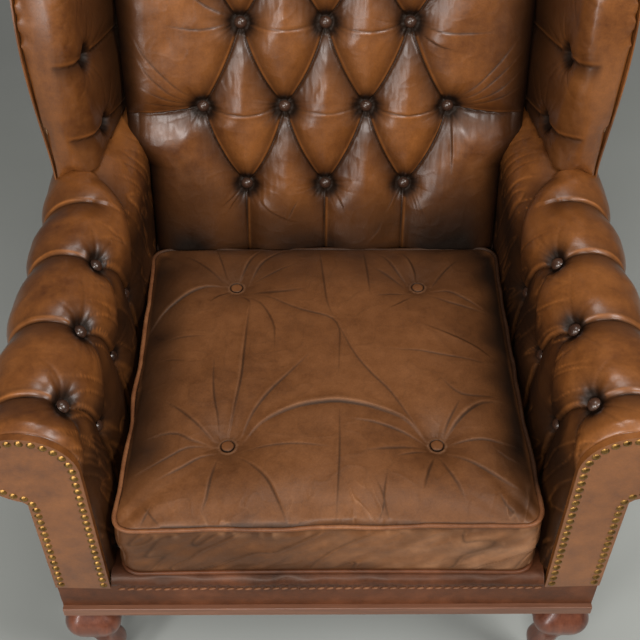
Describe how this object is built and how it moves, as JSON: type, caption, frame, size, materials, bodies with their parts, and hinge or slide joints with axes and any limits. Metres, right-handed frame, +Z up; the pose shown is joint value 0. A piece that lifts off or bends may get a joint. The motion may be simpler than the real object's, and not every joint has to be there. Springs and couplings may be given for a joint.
{
  "type": "wingback chair",
  "caption": "Leather wing chair with a deep-buttoned back, rolled buttoned arms and a loose piped seat cushion that lifts out.",
  "frame": {"origin": "on the floor, at the middle of the chair's plan box", "axes": "+Z up, the chair's front faces -Y, +X to the right as seen from the front"},
  "size_m": [0.7924, 0.7795, 1.0629],
  "materials": {
    "chair_leather": "waxed, worn",
    "cushion_leather": "waxed, worn",
    "piping_leather": "waxed, worn",
    "polished_wood": "polished",
    "beech": "sawn",
    "nail_brass": "antique",
    "spring_steel": "plain",
    "glide_plastic": "matte",
    "jute": "woven",
    "black_cloth": "woven",
    "waxed_thread": "waxed",
    "stuffing": "soft"
  },
  "bodies": {
    "chair": {"arm_board_left": "beech", "arm_board_right": "beech", "arm_buttons": "chair_leather", "arm_facing_left": "chair_leather", "arm_facing_right": "chair_leather", "arm_pad_left": "chair_leather", "arm_pad_right": "chair_leather", "arm_post_left": "beech", "arm_post_right": "beech", "arm_tack_rail_left": "beech", "arm_tack_rail_right": "beech", "back_buttons": "chair_leather", "back_leather": "chair_leather", "back_leg_left": "polished_wood", "back_leg_right": "polished_wood", "back_nails": "nail_brass", "back_post_left": "beech", "back_post_right": "beech", "back_rail": "beech", "back_stuffing": "stuffing", "back_tack_rail": "beech", "back_webbing": "jute", "corner_blocks": "beech", "corner_screws": "spring_steel", "crest_leather": "chair_leather", "crest_rail": "beech", "dust_cover": "black_cloth", "edge_stitches": "waxed_thread", "facing_nails": "nail_brass", "floor_glides": "glide_plastic", "front_band": "chair_leather", "front_leg_left": "polished_wood", "front_leg_right": "polished_wood", "front_rail": "beech", "front_strip": "polished_wood", "outside_arm_left": "chair_leather", "outside_arm_right": "chair_leather", "outside_back": "chair_leather", "outside_wing_left": "chair_leather", "outside_wing_right": "chair_leather", "platform_cloth": "black_cloth", "seat_felt": "stuffing", "seat_hessian": "jute", "seat_lip": "chair_leather", "seat_springs": "spring_steel", "side_rail_left": "beech", "side_rail_right": "beech", "spring_clips": "spring_steel", "wing_board_left": "beech", "wing_board_right": "beech", "wing_buttons": "chair_leather", "wing_pad_left": "chair_leather", "wing_pad_right": "chair_leather"},
    "seat_cushion": {"cushion_bottom_panel": "cushion_leather", "cushion_boxing": "cushion_leather", "cushion_buttons": "cushion_leather", "cushion_core": "stuffing", "cushion_piping_bottom": "piping_leather", "cushion_piping_top": "piping_leather", "cushion_top_panel": "cushion_leather"}
  },
  "joints": [
    {"name": "cushion_lift", "type": "slide", "parent": "chair", "child": "seat_cushion", "axis": [0, 0, 1], "range_m": [0, 0.8]}
  ]
}
